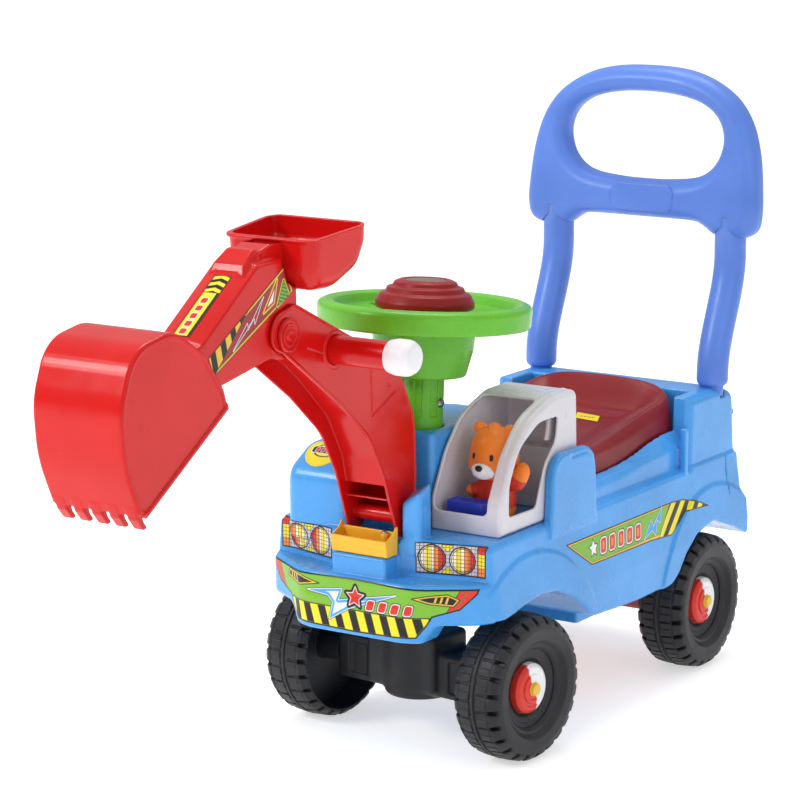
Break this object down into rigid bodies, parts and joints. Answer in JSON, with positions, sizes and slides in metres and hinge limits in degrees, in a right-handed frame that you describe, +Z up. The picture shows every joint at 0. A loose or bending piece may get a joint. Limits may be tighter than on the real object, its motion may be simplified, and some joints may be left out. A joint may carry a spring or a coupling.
{
  "type": "ride-on digger",
  "caption": "Child's foot-powered ride-on truck with a hand-worked digging arm, a steered front axle, a lifting seat lid and a push handle.",
  "frame": {"origin": "centre of the bounding box at the floor under the wheels", "axes": "+Z up, the truck drives towards -Y, +X is the driver's left"},
  "size_m": [0.2628, 0.891, 0.566],
  "materials": {
    "body_blue": "smooth glossy blow-moulded sky blue",
    "handle_blue": "satin periwinkle blue",
    "digger_red": "glossy injection-moulded red",
    "seat_red": "satin dark red",
    "horn_red": "satin dark red",
    "steering_green": "glossy leaf green",
    "tray_yellow": "satin yellow",
    "cab_white": "satin off-white",
    "knob_white": "smooth white cap",
    "console_blue": "satin royal blue",
    "bear_orange": "satin orange vinyl",
    "bear_shirt": "satin red vinyl",
    "tyre_black": "matt black blow-moulded wheel with moulded tread",
    "carrier_black": "matt black",
    "tub_red": "matt red",
    "hub_cap": "glossy cap",
    "steel": "zinc-plated steel"
  },
  "bodies": {
    "chassis": {"body_shell": "body_blue", "king_bearing": "carrier_black", "storage_tub": "tub_red", "rear_axle_carrier": "tub_red", "rear_axle": "steel", "seat_hinge_pin": "steel", "handle_loop": "handle_blue", "handle_post_left": "handle_blue", "handle_post_right": "handle_blue", "post_screw_left": "steel", "post_screw_right": "steel", "cab_shell": "cab_white", "cab_console": "console_blue", "bear_body": "bear_shirt", "bear_head": "bear_orange", "front_tray": "tray_yellow", "boom_pin": "steel", "axle_nut_rear_left": "steel", "axle_nut_rear_right": "steel"},
    "steering": {"steering_wheel": "steering_green", "horn_guide": "steering_green", "horn_spring": "steel", "steering_column": "steering_green", "column_screw": "steel", "front_axle_carrier": "carrier_black", "front_axle": "steel", "axle_nut_front_left": "steel", "axle_nut_front_right": "steel"},
    "horn": {"horn_button": "horn_red"},
    "front_left_wheel": {"tyre_front_left": "tyre_black", "hub_cap_front_left": "hub_cap"},
    "front_right_wheel": {"tyre_front_right": "tyre_black", "hub_cap_front_right": "hub_cap"},
    "rear_left_wheel": {"tyre_rear_left": "tyre_black", "hub_cap_rear_left": "hub_cap"},
    "rear_right_wheel": {"tyre_rear_right": "tyre_black", "hub_cap_rear_right": "hub_cap"},
    "seat": {"seat_lid": "seat_red"},
    "boom_arm": {"boom": "digger_red", "handle_bar": "digger_red", "handle_knob_left": "knob_white", "handle_knob_right": "knob_white", "elbow_pin": "digger_red"},
    "stick_arm": {"stick": "digger_red", "rear_scoop": "digger_red", "bucket_pin": "digger_red"},
    "bucket_body": {"bucket": "digger_red"}
  },
  "joints": [
    {"name": "steering_turn", "type": "hinge", "parent": "chassis", "child": "steering", "pos_m": [0, 0.0365, 0.393], "axis": [0, 0.0698, 0.9976], "range_deg": [-12.3, 22.7]},
    {"name": "horn_press", "type": "slide", "parent": "steering", "child": "horn", "axis": [0, 0.0698, 0.9976], "range_m": [-0.003, 0], "stiffness_N_per_m": 350, "springref_m": 0.0022, "deforming": ["horn_spring"]},
    {"name": "front_left_spin", "type": "hinge", "parent": "steering", "child": "front_left_wheel", "pos_m": [0.10606, 0.01685, 0.065], "axis": [0.9959, -0.0906, 0], "continuous": true},
    {"name": "front_right_spin", "type": "hinge", "parent": "steering", "child": "front_right_wheel", "pos_m": [-0.10606, 0.03615, 0.065], "axis": [0.9959, -0.0906, 0], "continuous": true},
    {"name": "rear_left_spin", "type": "hinge", "parent": "chassis", "child": "rear_left_wheel", "pos_m": [0.0975, 0.3505, 0.065], "axis": [1, 0, 0], "continuous": true},
    {"name": "rear_right_spin", "type": "hinge", "parent": "chassis", "child": "rear_right_wheel", "pos_m": [-0.0975, 0.3505, 0.065], "axis": [1, 0, 0], "continuous": true},
    {"name": "seat_lift", "type": "hinge", "parent": "chassis", "child": "seat", "pos_m": [0, 0.16, 0.2225], "axis": [1, 0, 0], "range_deg": [0, 50]},
    {"name": "boom_swing", "type": "hinge", "parent": "chassis", "child": "boom_arm", "pos_m": [0, -0.0355, 0.2155], "axis": [1, 0, 0], "range_deg": [-8, 25]},
    {"name": "elbow_fold", "type": "hinge", "parent": "boom_arm", "child": "stick_arm", "pos_m": [0, -0.206, 0.402], "axis": [1, 0, 0], "range_deg": [-12, 40]},
    {"name": "bucket_tilt", "type": "hinge", "parent": "stick_arm", "child": "bucket_body", "pos_m": [0, -0.3455, 0.392], "axis": [1, 0, 0], "range_deg": [-45, 30]}
  ]
}
